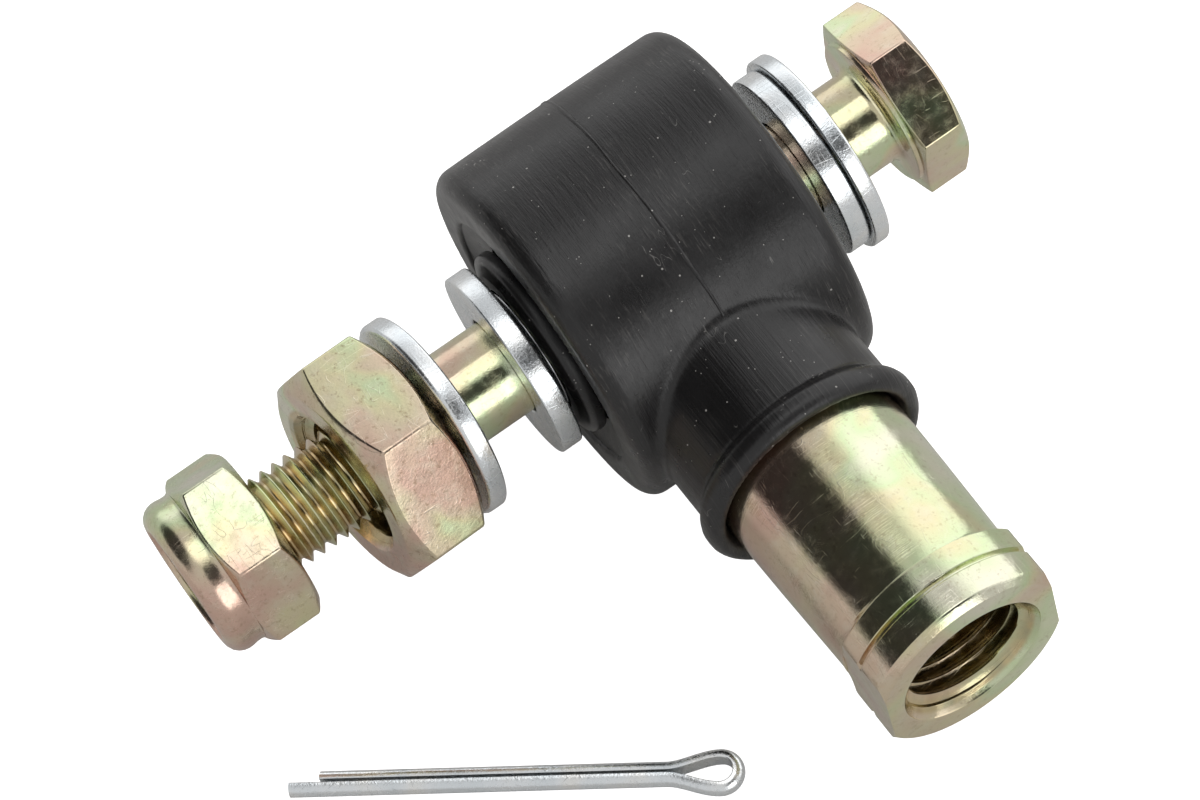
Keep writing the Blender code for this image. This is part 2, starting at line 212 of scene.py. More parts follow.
def hex_outline(across, corner_radius, turn, flat_n=10, corner_n=4):
    """Points round a hexagon with rounded corners; its corners are at turn + 60 k degrees."""
    big = across / math.sqrt(3.0)
    pts = []
    corners = [np.array((math.cos(math.radians(turn + 60 * k)), math.sin(math.radians(turn + 60 * k)))) * big
               for k in range(6)]
    for k in range(6):
        c, q, r = corners[k], corners[k - 1], corners[(k + 1) % 6]
        arc = fillet([(*q, 0), (*c, corner_radius), (*r, 0)], False, corner_n)[1:-1]
        pts.extend(arc)
        nxt = fillet([(*c, 0), (*r, corner_radius), (*corners[(k + 2) % 6], 0)], False, corner_n)[1]
        s, e = np.array(arc[-1]), np.array(nxt)
        for i in range(1, flat_n):
            pts.append(tuple(s + (e - s) * i / flat_n))
    return pts


def hex_solid(across, x_low, x_high, turn, face_low, face_high, inner, corner_radius=0.35, slope=28.0, edge=0.13,
              low_tail=None):
    """A chamfered hexagon with its bore. inner is the bore's (radius, x) from the x_high side to the x_low side;
    low_tail, if given, is a profile (radius, x) between the hexagon's low face and the bore."""
    out = hex_outline(across, corner_radius, turn)
    t = math.tan(math.radians(slope))
    cols = []
    for y, z in out:
        R = math.hypot(y, z)
        a = math.atan2(z, y)

        def hi(rho):
            return x_high - max(0.0, rho - face_high) * t

        def lo(rho):
            return x_low + max(0.0, rho - face_low) * t
        col = []
        fh, fl = min(face_high, R - 3 * edge), min(face_low, R - 3 * edge)
        col += [(fh - edge * 1.5, x_high), (fh, x_high - 0.25 * edge * (1 if face_high < R else 0)), (fh + edge, hi(fh + edge))]
        col += [((fh + R) / 2, hi((fh + R) / 2)), (R - edge, hi(R - edge)), (R - edge * 0.3, hi(R) - edge * 0.35), (R, hi(R) - edge)]
        a1, a2 = hi(R) - edge, lo(R) + edge
        col += [(R, a1 + (a2 - a1) * f) for f in (0.25, 0.5, 0.75)]
        col += [(R, a2), (R - edge * 0.3, lo(R) + edge * 0.35), (R - edge, lo(R - edge)), ((fl + R) / 2, lo((fl + R) / 2)),
                (fl + edge, lo(fl + edge)), (fl, x_low + 0.25 * edge * (1 if face_low < R else 0)), (fl - edge * 1.5, x_low)]
        if low_tail:
            col = col[:-1] + [(r, x) for r, x in low_tail]
        col += [(r, x) for r, x in inner[::-1]]
        cols.append([(x, r * math.cos(a), r * math.sin(a)) for r, x in col])
    m = len(cols[0])
    verts = [p for c in cols for p in c]
    faces = []
    n = len(cols)
    for j in range(n):
        k = (j + 1) % n
        for i in range(m):
            i2 = (i + 1) % m
            faces.append((j * m + i, j * m + i2, k * m + i2, k * m + i))
    return verts, faces


# ================================================================================================
# Materials: node trees in object space
# ================================================================================================
class Tree:
    def __init__(self, name):
        self.m = bpy.data.materials.new(name)
        self.m.use_nodes = True
        self.t = self.m.node_tree
        self.t.nodes.clear()
        self.out = self.t.nodes.new("ShaderNodeOutputMaterial")
        self.bsdf = self.t.nodes.new("ShaderNodeBsdfPrincipled")
        self.t.links.new(self.bsdf.outputs[0], self.out.inputs[0])
        self.co = self.t.nodes.new("ShaderNodeTexCoord").outputs["Object"]

    def link(self, a, b):
        self.t.links.new(a, b)

    def put(self, socket, value):
        if hasattr(value, "is_output") or hasattr(value, "links"):
            self.link(value, socket)
        else:
            socket.default_value = value

    def math(self, op, a, b=0.0, c=0.0, clamp=False):
        n = self.t.nodes.new("ShaderNodeMath")
        n.operation = op
        n.use_clamp = clamp
        self.put(n.inputs[0], a)
        self.put(n.inputs[1], b)
        self.put(n.inputs[2], c)
        return n.outputs[0]

    def vec(self, op, a, b=(0, 0, 0)):
        n = self.t.nodes.new("ShaderNodeVectorMath")
        n.operation = op
        self.put(n.inputs[0], a)
        self.put(n.inputs[1], b)
        return n.outputs["Value"] if op in ("DOT_PRODUCT", "LENGTH") else n.outputs["Vector"]

    def mapping(self, src=None, scale=(1, 1, 1), rot=(0, 0, 0), loc=(0, 0, 0)):
        n = self.t.nodes.new("ShaderNodeMapping")
        self.link(src or self.co, n.inputs["Vector"])
        n.inputs["Scale"].default_value = scale
        n.inputs["Rotation"].default_value = [math.radians(r) for r in rot]
        n.inputs["Location"].default_value = loc
        return n.outputs[0]

    def noise(self, src, scale, detail=3.0, rough=0.55, distort=0.0):
        n = self.t.nodes.new("ShaderNodeTexNoise")
        self.link(src or self.co, n.inputs["Vector"])
        n.inputs["Scale"].default_value = scale
        n.inputs["Detail"].default_value = detail
        n.inputs["Roughness"].default_value = rough
        n.inputs["Distortion"].default_value = distort
        return n.outputs["Fac"]

    def voronoi(self, src, scale):
        n = self.t.nodes.new("ShaderNodeTexVoronoi")
        self.link(src or self.co, n.inputs["Vector"])
        n.inputs["Scale"].default_value = scale
        return n.outputs["Distance"]

    def ramp(self, fac, stops, kind='LINEAR'):
        n = self.t.nodes.new("ShaderNodeValToRGB")
        self.link(fac, n.inputs[0])
        cr = n.color_ramp
        cr.interpolation = kind
        while len(cr.elements) < len(stops):
            cr.elements.new(0.5)
        for e, (p, c) in zip(cr.elements, stops):
            e.position = p
            e.color = (*c, 1.0) if len(c) == 3 else c
        return n.outputs[0]

    def smooth(self, value, low, high, to_low=0.0, to_high=1.0):
        n = self.t.nodes.new("ShaderNodeMapRange")
        n.interpolation_type = 'SMOOTHSTEP'
        self.put(n.inputs["Value"], value)
        n.inputs["From Min"].default_value = low
        n.inputs["From Max"].default_value = high
        n.inputs["To Min"].default_value = to_low
        n.inputs["To Max"].default_value = to_high
        return n.outputs[0]

    def mix(self, fac, a, b, kind='MIX'):
        n = self.t.nodes.new("ShaderNodeMix")
        n.data_type = 'RGBA'
        n.blend_type = kind
        self.put(n.inputs["Factor"], fac)
        for s, v in ((n.inputs[6], a), (n.inputs[7], b)):
            if hasattr(v, "links"):
                self.link(v, s)
            else:
                s.default_value = (*v, 1.0) if len(v) == 3 else v
        return n.outputs[2]

    def bump(self, height, strength, distance, under=None):
        n = self.t.nodes.new("ShaderNodeBump")
        n.inputs["Strength"].default_value = strength
        n.inputs["Distance"].default_value = distance
        self.link(height, n.inputs["Height"])
        if under is not None:
            self.link(under, n.inputs["Normal"])
        return n.outputs[0]

    def set(self, **kw):
        for k, v in kw.items():
            self.put(self.bsdf.inputs[k.replace("_", " ")], v)
        return self.m

    def scratches(self, rot, stretch, scale, width, loc=(0, 0, 0)):
        """Thin wandering lines: the places where a stretched noise crosses its middle value."""
        n = self.noise(self.mapping(scale=stretch, rot=rot, loc=loc), scale, 1.5, 0.45, 0.35)
        d = self.math('ABSOLUTE', self.math('SUBTRACT', n, 0.5))
        return self.smooth(d, 0.0, width, 1.0, 0.0)


PINK = (0.68, 0.47, 0.375)
TAN = (0.69, 0.575, 0.42)
YELLOW = (0.70, 0.65, 0.41)
GREEN = (0.62, 0.71, 0.44)
PALE = (0.75, 0.73, 0.58)
BROWN = (0.30, 0.21, 0.12)


def yellow_zinc(name, loc=(0, 0, 0), spread=95.0, shift=0.0, scratch=0.5, rough=0.17, turned=None, brass=None, grain=0.35,
                drift=None, mottle=0.30):
    """Yellow chromate over zinc: a pale metal whose tint drifts from rose through straw to green."""
    t = Tree(name)
    base = t.noise(t.mapping(loc=loc), spread, 2.0, 0.5, 0.4)
    if shift:
        base = t.math('ADD', base, shift)
    if drift:
        # the tint runs from rose to green along a direction: (direction, middle in mm, strength per mm)
        way, middle, strength = drift
        run = t.math('MULTIPLY', t.math('SUBTRACT', t.vec('DOT_PRODUCT', t.co, way), middle * MM), strength * 1000.0)
        base = t.math('ADD', base, t.math('MAXIMUM', -0.16, t.math('MINIMUM', run, 0.16)))
    colour = t.ramp(base, [(0.30, PINK), (0.42, TAN), (0.50, YELLOW), (0.58, GREEN), (0.70, PALE)])
    cloud = t.noise(t.mapping(loc=(0.3, 0.1, 0.7)), 420.0, 4.0, 0.65)
    colour = t.mix(t.smooth(cloud, 0.45, 0.75, 0.0, 0.35), colour, PALE)
    dull = t.noise(t.mapping(loc=(0.9, 0.4, 0.2)), 1700.0, 3.0, 0.7)
    colour = t.mix(t.smooth(dull, 0.54, 0.72, 0.0, mottle), colour, BROWN)
    s1 = t.scratches((12, 35, 20), (1.0, 0.16, 0.4), 900.0, 0.008)
    s2 = t.scratches((50, -30, 75), (0.15, 1.0, 0.45), 700.0, 0.007, (0.2, 0.5, 0.1))
    s3 = t.scratches((-20, 60, -35), (0.40, 0.18, 1.0), 1150.0, 0.009, (0.6, 0.1, 0.4))
    w1 = t.smooth(t.noise(t.mapping(loc=(0.5, 0.8, 0.1)), 330.0, 2.0), 0.50, 0.60)
    w2 = t.smooth(t.noise(t.mapping(loc=(0.1, 0.2, 0.6)), 290.0, 2.0), 0.52, 0.62)
    w3 = t.smooth(t.noise(t.mapping(loc=(0.9, 0.5, 0.3)), 410.0, 2.0), 0.50, 0.60)
    lines = t.math('MAXIMUM', t.math('MULTIPLY', s1, w1), t.math('MAXIMUM', t.math('MULTIPLY', s2, w2), t.math('MULTIPLY', s3, w3)))
    lines = t.math('MULTIPLY', lines, scratch)
    colour = t.mix(t.math('MULTIPLY', lines, 0.35), colour, (0.86, 0.84, 0.74))
    if brass:
        # the threads keep a deeper, browner film in their grooves
        sep = t.t.nodes.new("ShaderNodeSeparateXYZ")
        t.link(t.co, sep.inputs[0])
        h, (r_deep, r_top), (x_lo, x_hi) = brass
        if h == 'X':
            radius = t.math('SQRT', t.math('ADD', t.math('POWER', sep.outputs[1], 2.0), t.math('POWER', sep.outputs[2], 2.0)))
            along = sep.outputs[0]
        else:
            radius = t.math('SQRT', t.math('ADD', t.math('POWER', sep.outputs[0], 2.0), t.math('POWER', sep.outputs[2], 2.0)))
            along = sep.outputs[1]
        inside = t.math('MULTIPLY', t.smooth(along, x_lo * MM, (x_lo + 0.4) * MM), t.smooth(along, (x_hi - 0.4) * MM, x_hi * MM, 1.0, 0.0))
        if r_deep < r_top:
            deep = t.smooth(radius, r_deep * MM, r_top * MM, 1.0, 0.25)
        else:
            deep = t.smooth(radius, r_top * MM, r_deep * MM, 0.35, 1.0)
            inside = t.math('MULTIPLY', inside, t.smooth(radius, (r_deep + 0.45) * MM, (r_deep + 0.9) * MM, 1.0, 0.0))
        film = t.ramp(t.noise(t.mapping(loc=(0.1, 0.9, 0.5)), 260.0, 2.0), [(0.35, (0.46, 0.34, 0.18)), (0.5, (0.62, 0.50, 0.28)), (0.65, (0.44, 0.41, 0.26))])
        colour = t.mix(t.math('MULTIPLY', deep, inside), colour, film)
    wear = t.noise(t.mapping(loc=(0.2, 0.2, 0.8)), 900.0, 3.0, 0.6)
    roughness = t.math('ADD', t.smooth(wear, 0.35, 0.75, rough - 0.04, rough + 0.10), t.math('MULTIPLY', lines, 0.12))
    fine = t.noise(t.mapping(loc=(0.7, 0.3, 0.3)), 3600.0, 3.0, 0.6)
    nrm = t.bump(fine, grain * 0.55, 0.00005)
    mid = t.noise(t.mapping(loc=(0.4, 0.6, 0.9)), 520.0, 2.0, 0.5)
    nrm = t.bump(mid, 0.13, 0.00012, nrm)
    nrm = t.bump(lines, 0.35, 0.00003, nrm)
    if turned:
        # lathe marks round the axis
        axis, spacing = turned
        sep2 = t.t.nodes.new("ShaderNodeSeparateXYZ")
        t.link(t.co, sep2.inputs[0])
        comb = t.t.nodes.new("ShaderNodeCombineXYZ")
        t.link(sep2.outputs[0 if axis == 'X' else 1], comb.inputs[0])
        marks = t.noise(comb.outputs[0], spacing, 2.0, 0.7)
        nrm = t.bump(marks, 0.35, 0.00004, nrm)
    return t.set(Base_Color=colour, Metallic=1.0, Roughness=roughness, Normal=nrm)


def clear_zinc(name, loc=(0, 0, 0), rough=0.235):
    """Clear, faintly blue zinc plate on stamped washers and wire."""
    t = Tree(name)
    base = t.noise(t.mapping(loc=loc), 240.0, 3.0, 0.5)
    colour = t.ramp(base, [(0.3, (0.78, 0.83, 0.86)), (0.5, (0.86, 0.89, 0.91)), (0.7, (0.90, 0.90, 0.88))])
    spots = t.noise(t.mapping(loc=(0.2, 0.6, 0.3)), 3000.0, 3.0, 0.7)
    colour = t.mix(t.smooth(spots, 0.60, 0.74, 0.0, 0.30), colour, (0.38, 0.42, 0.47))
    s1 = t.scratches((10, 20, 60), (1.0, 0.12, 0.3), 1100.0, 0.018, loc)
    s2 = t.scratches((40, -50, 10), (0.12, 1.0, 0.3), 900.0, 0.016, loc)
    lines = t.math('MULTIPLY', t.math('MAXIMUM', s1, s2), t.smooth(t.noise(t.mapping(loc=(0.5, 0.1, 0.6)), 210.0, 2.0), 0.42, 0.6))
    roughness = t.math('ADD', t.smooth(spots, 0.35, 0.7, rough - 0.07, rough + 0.06), t.math('MULTIPLY', lines, 0.1))
    fine = t.noise(t.mapping(loc=(0.7, 0.3, 0.3)), 4200.0, 3.0, 0.6)
    nrm = t.bump(fine, 0.42, 0.00005)
    nrm = t.bump(t.noise(t.mapping(loc=(0.1, 0.5, 0.9)), 620.0, 2.0), 0.16, 0.00012, nrm)
    nrm = t.bump(lines, 0.35, 0.00003, nrm)
    return t.set(Base_Color=colour, Metallic=1.0, Roughness=roughness, Normal=nrm)


def rubber(name, axis='X', streaks=True, base=(0.0085, 0.0080, 0.0082)):
    """Black moulded rubber: satin, with moulding streaks round the drum, dust and small white specks."""
    t = Tree(name)
    cloud = t.noise(t.mapping(loc=(0.3, 0.3, 0.2)), 130.0, 4.0, 0.6)
    colour = t.ramp(cloud, [(0.3, base), (0.6, tuple(c * 1.5 for c in base)), (0.8, tuple(c * 2.3 for c in base))])
    sep = t.t.nodes.new("ShaderNodeSeparateXYZ")
    t.link(t.co, sep.inputs[0])
    comb = t.t.nodes.new("ShaderNodeCombineXYZ")
    if axis == 'X':
        along, u, v = sep.outputs[0], sep.outputs[1], sep.outputs[2]
    else:
        along, u, v = sep.outputs[1], sep.outputs[2], sep.outputs[0]
    turn = t.math('ARCTAN2', v, u)
    t.link(t.math('MULTIPLY', along, 1900.0), comb.inputs[0])
    t.link(t.math('MULTIPLY', turn, 2.6), comb.inputs[1])
    streak = t.noise(comb.outputs[0], 1.0, 3.0, 0.6)
    comb2 = t.t.nodes.new("ShaderNodeCombineXYZ")
    t.link(t.math('MULTIPLY', along, 5200.0), comb2.inputs[0])
    t.link(t.math('MULTIPLY', turn, 9.0), comb2.inputs[1])
    streak2 = t.noise(comb2.outputs[0], 1.0, 2.0, 0.6)
    where = t.smooth(t.noise(t.mapping(loc=(0.8, 0.1, 0.4)), 95.0, 2.0), 0.40, 0.62)
    dusty = t.math('MULTIPLY', t.smooth(streak2, 0.52, 0.75), where)
    if streaks:
        colour = t.mix(t.math('MULTIPLY', dusty, 0.16), colour, (0.30, 0.28, 0.26))
    speck_d = t.voronoi(t.mapping(loc=(0.11, 0.37, 0.71)), 900.0)
    speck_on = t.smooth(t.noise(t.mapping(loc=(0.5, 0.2, 0.9)), 520.0, 1.0), 0.60, 0.63)
    specks = t.math('MULTIPLY', t.smooth(speck_d, 0.07, 0.115, 1.0, 0.0), speck_on)
    fine_d = t.voronoi(t.mapping(loc=(0.51, 0.07, 0.21)), 1500.0)
    fine_on = t.smooth(t.noise(t.mapping(loc=(0.3, 0.7, 0.4)), 700.0, 1.0), 0.58, 0.60)
    specks = t.math('MAXIMUM', specks, t.math('MULTIPLY', t.smooth(fine_d, 0.07, 0.12, 0.75, 0.0), fine_on))
    hair = t.math('MULTIPLY', t.scratches((25, 10, 40), (1.0, 0.4, 0.4), 900.0, 0.010, (0.3, 0.2, 0.9)),
                  t.smooth(t.noise(t.mapping(loc=(0.15, 0.45, 0.75)), 380.0, 1.0), 0.66, 0.70))
    specks = t.math('MAXIMUM', specks, t.math('MULTIPLY', hair, 0.3))
    colour = t.mix(t.math('MULTIPLY', specks, 0.75), colour, (0.55, 0.53, 0.50))
    rough = t.smooth(t.noise(t.mapping(loc=(0.6, 0.6, 0.1)), 300.0, 3.0), 0.3, 0.7, 0.27, 0.36)
    grain = t.noise(t.mapping(loc=(0.2, 0.8, 0.6)), 2300.0, 3.0, 0.6)
    nrm = t.bump(grain, 0.22, 0.00008)
    if streaks:
        nrm = t.bump(streak, 0.55, 0.00010, nrm)
        nrm = t.bump(streak2, 0.55, 0.00006, nrm)
    return t.set(Base_Color=colour, Roughness=rough, Normal=nrm, Specular_IOR_Level=0.50)


def plain_steel(name, tint=(0.56, 0.57, 0.58), rough=0.16, metal=1.0, marks=True):
    t = Tree(name)
    n = t.noise(t.mapping(loc=(0.3, 0.5, 0.2)), 500.0, 4.0, 0.6)
    colour = t.ramp(n, [(0.3, tuple(c * 0.82 for c in tint)), (0.7, tint)])
    rough_n = t.smooth(n, 0.3, 0.7, rough, rough + 0.12)
    line = t.noise(t.mapping(scale=(1.0, 0.05, 0.05)), 3000.0 if marks else 700.0, 2.0, 0.6)
    return t.set(Base_Color=colour, Metallic=metal, Roughness=rough_n, Normal=t.bump(line, 0.3, 0.00004))


# ================================================================================================
# Dimensions shared with the CAD (mm)
# ================================================================================================
def lean(centre_x, degrees, axis, drop=(0.0, 0.0, 0.0)):
    """The matrix that tips a loose piece about its own centre on the bolt's axis."""
    centre = Vector((centre_x, 0, 0))
    return (Matrix.Translation(centre + Vector(drop)) @ Matrix.Rotation(math.radians(degrees), 4, Vector(axis).normalized())
            @ Matrix.Translation(-centre))


BOLT_SEAT_X, BOLT_END_X, HEAD_H = 26.5, -53.3, 5.7
LOCKNUT_X, LOCK_HEX_LOW = (-54.1, -44.2), -50.6
JAMNUT_X = (-36.3, -27.5)
FLOOR_Z = -18.9

# ================================================================================================
# Rod end body: neck with wrench collar and threaded bore, and the eye hidden in the boot
# ================================================================================================
neck_mat = yellow_zinc("neck_yellow_zinc", loc=(0.035, 0.02, 0.013), spread=85.0, scratch=0.45, rough=0.14,
                       turned=('Y', 5200.0), brass=('Y', (7.3, 6.0), (-52.9, -20.0)), drift=((0.9, 0.0, 0.3), 2.0, 0.009))
FLAT = 9.35


def neck_rings():
    """(radius, distance, cut): the outer surface from inside the eye to the end face; cut rings are clamped to the flats."""
    p = [(7.4, 14.3, 0), (7.4, 15.9, 0), (9.85, 18.6, 0), (9.86, 22.0, 0), (9.85, 27.0, 0), (9.82, 31.0, 0), (9.74, 36.0, 0),
         (9.62, 41.0, 0), (9.52, 45.0, 0), (9.50, 45.7, 0), (9.56, 45.98, 0)]
    p += [(9.56, 46.02, 1), (9.62, 46.25, 1), (9.80, 46.45, 1), (10.35, 46.58, 1), (10.62, 46.62, 1), (10.74, 46.70, 1), (10.80, 46.86, 1),
          (10.80, 48.0, 1), (10.80, 49.02, 1), (10.74, 49.10, 1), (10.42, 49.22, 1), (10.34, 49.30, 1), (10.34, 49.46, 1), (10.42, 49.56, 1), (10.72, 49.64, 1),
          (10.79, 49.74, 1), (10.80, 50.6, 1), (10.80, 52.25, 1), (10.76, 52.40, 1), (10.66, 52.52, 1), (10.20, 53.08, 1), (10.10, 53.17, 1), (9.96, 53.20, 1)]
    return p


def neck_mesh():
    arc_n, flat_n = 44, 16
    verts, faces = [], []
    rings = neck_rings()
    count = 2 * (arc_n + flat_n)
    for r, h, cut in rings:
        c = math.acos(FLAT / r) if (cut and r > FLAT) else 0.0
        key = c if c > 0 else math.acos(FLAT / 10.8)
        pts = []
        for side in range(2):
            base = 0.0 if side == 0 else math.pi
            for i in range(flat_n):
                f = -1 + 2 * i / flat_n
                if c > 0:
                    z = r * math.sin(c) * f
                    pts.append((FLAT * (1 if side == 0 else -1), z * (1 if side == 0 else -1)))
                else:
                    a = base + key * f
                    pts.append((r * math.cos(a), r * math.sin(a)))
            for i in range(arc_n):
                a = base + key + (math.pi - 2 * key) * i / arc_n
                pts.append((r * math.cos(a), r * math.sin(a)))
        verts.extend((x, -h, z) for x, z in pts)
    n = len(rings)
    for k in range(n - 1):
        for j in range(count):
            j2 = (j + 1) % count
            faces.append((k * count + j, k * count + j2, (k + 1) * count + j2, (k + 1) * count + j))
    # end face and countersink down to the first full thread, ring by ring at the same angles
    last = [(v[0], v[2]) for v in verts[-count:]]
    angles = [math.atan2(z, x) for x, z in last]
    inner = [(9.0, 53.2), (8.2, 53.2), (7.78, 53.2), (7.66, 53.15), (7.60, 53.02), (6.98, 52.42), (6.90, 52.30)]
    base = (n - 1) * count
    for r, h in inner:
        off = len(verts)
        for (x, z), a in zip(last, angles):
            R = math.hypot(x, z)
            rr = min(r, R - 0.05)
            verts.append((rr * math.cos(a), -h, rr * math.sin(a)))
        for j in range(count):
            j2 = (j + 1) % count
            faces.append((base + j, base + j2, off + j2, off + j))
        base = off
    # thread, its vertices at evenly spaced angles: a thin overlap ring joins the two
    tv, tf = thread('Y', 24.0, 52.32, 1.5, 6.95, 6.15, steps=96, run=(1.5, 0.6), r_ends=(6.2, 6.95), hand=1, crest=0.18, root=0.14)
    body = (verts, faces)
    blind = revolve([(0.0, 21.0), (3.0, 22.4), (6.2, 24.0)], 'Y', 96, closed=False)
    back = revolve([(0.0, 14.3), (7.4, 14.3)], 'Y', 120, closed=False)
    return join(body, (tv, tf), blind, back)


v, f = neck_mesh()
neck = mesh("rod_end_neck", v, f, neck_mat, "housing", "yellow_zinc", ("rod_end_body",), sharp=32)
eye = revolve(fillet([(15.9, 8.0, 0.5), (15.9, -8.0, 0.5), (11.1, -8.0, 0.3), (11.1, -6.3, 0.1), (13.7, -6.3, 0.1), (13.7, 6.2, 0.1),
                      (14.4, 6.2, 0.1), (14.4, 7.6, 0.1), (13.7, 7.6, 0.1), (13.7, 8.0, 0.2)], True, 3), 'X', 128)
eye_mat = yellow_zinc("eye_yellow_zinc", loc=(0.2, 0.1, 0.4), turned=('X', 5200.0))
mesh("rod_end_eye", *eye, eye_mat, "housing", "yellow_zinc")

# ================================================================================================
# Rubber boot: a drum and a sleeve run into each other, taken from a distance field
# ================================================================================================
BOOT_X = (-12.9, 14.0)


def smooth_min(a, b, k):
    h = np.clip(0.5 + 0.5 * (b - a) / k, 0, 1)
    return b * (1 - h) + a * h - k * h * (1 - h)


def smooth_max(a, b, k):
    return -smooth_min(-a, -b, k)


def rounded_box(a, b, ha, hb, r):
    qa, qb = np.abs(a) - (ha - r), np.abs(b) - (hb - r)
    return np.sqrt(np.maximum(qa, 0) ** 2 + np.maximum(qb, 0) ** 2) + np.minimum(np.maximum(qa, qb), 0) - r


def boot_field(p):
    x, y, z = p[..., 0], p[..., 1], p[..., 2]
    r = np.sqrt(y * y + z * z)
    q = np.sqrt(x * x + z * z)
    t = -y
    mid, half = (BOOT_X[0] + BOOT_X[1]) / 2, (BOOT_X[1] - BOOT_X[0]) / 2
    barrel = 18.74 - 0.10 * ((x - mid) / half) ** 2
    drum = rounded_box(r - (barrel - 18.88), x - mid, 18.88, half, 1.9)
    tube = smooth_max(q - 11.1, t - 28.35, 0.3)
    lip = rounded_box(q, t - 27.1, 12.1, 1.38, 1.15)
    sleeve = smooth_min(tube, lip, 0.9)
    sleeve = smooth_max(sleeve, 6.0 - t, 0.2)
    outer = smooth_min(drum, sleeve, 0.85)
    # cavity: the eye's room, the two side mouths and the bore round the neck
    room = np.maximum(r - 16.35, np.abs(x) - 8.35)
    mouth = r - 13.55
    bore = np.maximum(q - 9.9, -t)
    recess = np.maximum(q - (9.9 + (t - 27.5) * 0.65), 27.5 - t)
    cavity = np.minimum(np.minimum(room, mouth), np.minimum(bore, recess))
    return smooth_max(outer, -cavity, 0.35)


def surface_net(field, low, high, step):
    """Closed quad mesh of field = 0, with its points moved onto the surface."""
    axes = [np.arange(l, h + step, step) for l, h in zip(low, high)]
    g = np.stack(np.meshgrid(*axes, indexing='ij'), -1)
    val = field(g)
    neg = val < 0
    nx, ny, nz = val.shape
    cells = np.zeros((nx - 1, ny - 1, nz - 1), bool)
    total = np.zeros((nx - 1, ny - 1, nz - 1, 3))
    count = np.zeros((nx - 1, ny - 1, nz - 1))
    corner = [(i, j, k) for i in (0, 1) for j in (0, 1) for k in (0, 1)]
    for c in corner:
        for ax in range(3):
            if c[ax]:
                continue
            d = list(c)
            d[ax] = 1
            sa = tuple(slice(o, o + n - 1) for o, n in zip(c, (nx, ny, nz)))
            sb = tuple(slice(o, o + n - 1) for o, n in zip(d, (nx, ny, nz)))
            cross = neg[sa] != neg[sb]
            va, vb = val[sa], val[sb]
            with np.errstate(divide='ignore', invalid='ignore'):
                f = np.where(cross, va / (va - vb), 0.0)
            pt = g[sa] + f[..., None] * (g[sb] - g[sa])
            total += np.where(cross[..., None], pt, 0.0)
            count += cross
            cells |= cross
    index = -np.ones(cells.shape, int)
    index[cells] = np.arange(cells.sum())
    verts = total[cells] / count[cells][:, None]
    quads = []
    for ax in range(3):
        o1, o2 = [(1, 2), (2, 0), (0, 1)][ax]
        sa = [slice(0, None)] * 3
        sb = [slice(0, None)] * 3
        sa[ax] = slice(0, val.shape[ax] - 1)
        sb[ax] = slice(1, val.shape[ax])
        cross = neg[tuple(sa)] != neg[tuple(sb)]
        ii = np.argwhere(cross)
        ok = (ii[:, o1] > 0) & (ii[:, o2] > 0) & (ii[:, o1] < val.shape[o1] - 1) & (ii[:, o2] < val.shape[o2] - 1)
        ii = ii[ok]
        def at(d1, d2):
            j = ii.copy()
            j[:, o1] -= d1
            j[:, o2] -= d2
            return index[j[:, 0], j[:, 1], j[:, 2]]
        q = np.stack([at(1, 1), at(0, 1), at(0, 0), at(1, 0)], 1)
        flip = neg[tuple(sa)][ii[:, 0], ii[:, 1], ii[:, 2]]
        q[~flip] = q[~flip][:, ::-1]
        quads.append(q)
    eps = 0.02
    for _ in range(5):
        value = field(verts)
        grad = np.stack([(field(verts + e) - field(verts - e)) / (2 * eps) for e in np.eye(3) * eps], 1)
        length = np.maximum((grad ** 2).sum(1), 0.3)
        verts = verts - np.clip(value / length, -0.3, 0.3)[:, None] * grad
    return verts, np.concatenate(quads)


def net_mesh(name, verts, quads, material):
    me = bpy.data.meshes.new(name)
    me.from_pydata((verts * MM).tolist(), [], quads.tolist())
    me.validate()
    bm = bmesh.new()
    bm.from_mesh(me)
    bmesh.ops.recalc_face_normals(bm, faces=bm.faces)
    bm.to_mesh(me)
    bm.free()
    me.shade_smooth()
    ob = bpy.data.objects.new(name, me)
    scene.collection.objects.link(ob)
    me.materials.append(material)
    return ob


drum_rubber = rubber("boot_rubber")
net_v, net_q = surface_net(boot_field, (-13.9, -29.6, -19.9), (15.0, 19.9, 19.9), 0.45)
boot = net_mesh("boot_skin", net_v, net_q, drum_rubber)
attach(boot, "housing")
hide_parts("rubber_boot")


def boot_radius(x, ang):
    """Radius of the boot's outer surface about the bolt axis at an x and an angle, by bisection."""
    lo, hi = 12.0, 21.0
    for _ in range(30):
        m = (lo + hi) / 2
        if boot_field(np.array([[x, m * math.cos(ang), m * math.sin(ang)]]))[0] < 0:
            lo = m
        else:
            hi = m
    return lo


def mould_line():
    """The thin flash line left by the mould, over the drum between the two sides of the sleeve."""
    verts, faces = [], []
    n = 150
    a0, a1 = math.radians(-52), math.radians(232)
    for i in range(n + 1):
        a = a0 + (a1 - a0) * i / n
        x0 = 0.35 + 0.12 * math.sin(3.1 * a) + 0.05 * math.sin(11.0 * a)
        r = boot_radius(x0, a)
        wide, tall = 0.24 + 0.06 * math.sin(7 * a), 0.115 + 0.035 * math.sin(5.3 * a + 1)
        for dx, dr in ((-wide, -0.25), (-wide * 0.8, 0.0), (-0.05, tall), (0.05, tall), (wide * 0.8, 0.0), (wide, -0.25)):
            rr = min(r + dr, 18.9)
            verts.append((x0 + dx, rr * math.cos(a), rr * math.sin(a)))
    for i in range(n):
        for k in range(6):
            k2 = (k + 1) % 6
            faces.append((i * 6 + k, i * 6 + k2, (i + 1) * 6 + k2, (i + 1) * 6 + k))
    faces.append(tuple(range(6)))
    faces.append(tuple(n * 6 + k for k in range(6)))
    return verts, faces


